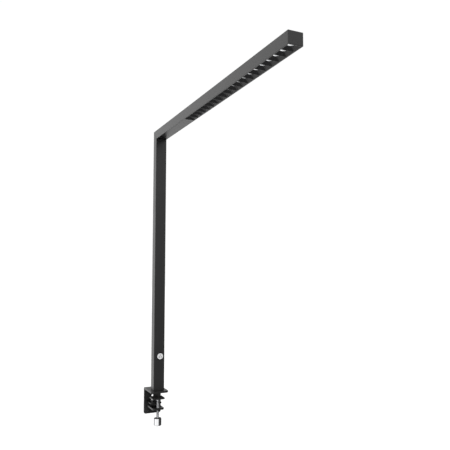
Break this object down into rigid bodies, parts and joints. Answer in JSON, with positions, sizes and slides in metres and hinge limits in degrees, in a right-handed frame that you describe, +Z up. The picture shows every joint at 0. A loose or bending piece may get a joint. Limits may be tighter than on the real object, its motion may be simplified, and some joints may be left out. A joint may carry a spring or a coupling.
{
  "type": "desk clamp luminaire",
  "caption": "Workplace luminaire: inverted-L black aluminium stand on a screw desk clamp, linear louvred light in the arm, push-button dimmer on the column.",
  "frame": {"origin": "on the column's axis, in the plane of the desk's top surface, which is the underside of the pad under the clamp's top plate", "axes": "+Z up; +X along the arm from the column to its free end; +Y completes a right-handed frame"},
  "size_m": [1.271, 0.081, 1.356],
  "materials": {
    "satin_black": "satin black anodised",
    "black_steel": "satin black lacquer on steel",
    "bright_steel": "bright turned steel",
    "zinc": "zinc plated",
    "chrome": "polished",
    "louvre_black": "high gloss black",
    "dark_plastic": "fine matt",
    "padding": "matt",
    "lens_opal": "opal, luminous",
    "board_white": "white solder mask",
    "housing_grey": "fine matt",
    "cable_black": "matt sheath"
  },
  "bodies": {
    "root": {"column_tube": "satin_black", "arm_profile": "satin_black", "arm_bottom_cover": "satin_black", "corner_bracket": "zinc", "corner_set_screw_column_left": "zinc", "corner_set_screw_column_right": "zinc", "corner_set_screw_arm_left": "zinc", "corner_set_screw_arm_right": "zinc", "end_cap": "satin_black", "louvre_module_inner": "louvre_black", "louvre_module_outer": "louvre_black", "lens_strip_inner": "lens_opal", "lens_strip_outer": "lens_opal", "led_board_inner": "board_white", "led_board_outer": "board_white", "board_link_connector": "board_white", "gear_tray": "zinc", "led_driver": "housing_grey", "driver_screw_rear": "zinc", "driver_screw_front": "zinc", "led_lead": "cable_black", "supply_cable": "cable_black", "switch_housing": "dark_plastic", "switch_nut": "zinc", "microswitch": "dark_plastic", "power_inlet": "dark_plastic", "inlet_lead": "cable_black", "foot_plug": "zinc", "clamp_bracket": "black_steel", "foot_screw_front_left": "zinc", "foot_screw_front_right": "zinc", "foot_screw_rear_left": "zinc", "foot_screw_rear_right": "zinc", "plug_screw_left": "zinc", "plug_screw_right": "zinc", "top_pad": "padding", "lower_jaw": "black_steel", "thread_insert": "black_steel", "jaw_bolt_left": "zinc", "jaw_bolt_right": "zinc", "jaw_nut_left": "zinc", "jaw_nut_right": "zinc"},
    "push_button": {"button_cap": "chrome"},
    "pressure_foot": {"pressure_plate": "black_steel", "pressure_pad": "padding", "swivel_collar": "zinc"},
    "spindle": {"clamp_screw": "bright_steel", "clamp_knob": "chrome", "knob_set_screw": "dark_plastic"}
  },
  "joints": [
    {"name": "button_press", "type": "slide", "parent": "root", "child": "push_button", "axis": [-1, 0, 0], "range_m": [0, 0.0012], "stiffness_N_per_m": 500, "springref_m": -0.001},
    {"name": "clamp_travel", "type": "slide", "parent": "root", "child": "pressure_foot", "axis": [0, 0, 1], "range_m": [-0.02, 0.0235]},
    {"name": "clamp_turn", "type": "hinge", "parent": "pressure_foot", "child": "spindle", "pos_m": [0.007, 0, 0], "axis": [0, 0, 1], "range_deg": [-4120, 4840]}
  ],
  "couplings": [
    {"joint": "clamp_turn", "follows": "clamp_travel", "rad_per_m": 3590.4}
  ]
}
